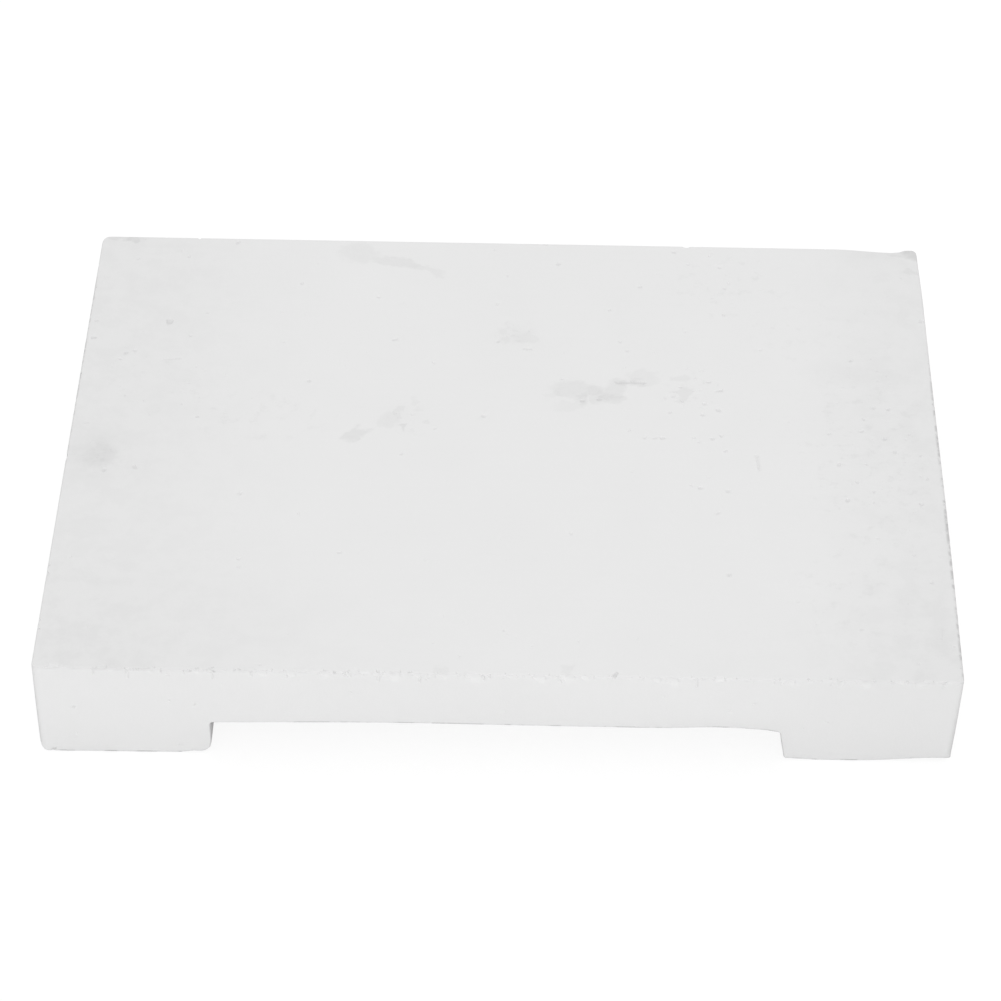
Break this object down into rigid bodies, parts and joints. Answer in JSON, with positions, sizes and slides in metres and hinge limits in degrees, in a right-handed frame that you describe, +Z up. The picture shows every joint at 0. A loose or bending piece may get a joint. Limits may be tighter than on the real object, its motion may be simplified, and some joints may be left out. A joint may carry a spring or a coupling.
{
  "type": "soldering board",
  "caption": "Flat rectangular white refractory board on moulded-in feet, with an open channel beneath, for resting work on while it is soldered with a torch.",
  "frame": {"origin": "on the floor plane, under the middle of the board", "axes": "+X along the long side, to the right in the picture; +Y from the front wall to the back wall; +Z up, out of the working face"},
  "size_m": [0.2032, 0.1524, 0.0254],
  "materials": {
    "cast_refractory": "matt, chalky and fine-grained, with a trowelled top"
  },
  "bodies": {
    "root": {"soldering_board": "cast_refractory"}
  },
  "joints": []
}
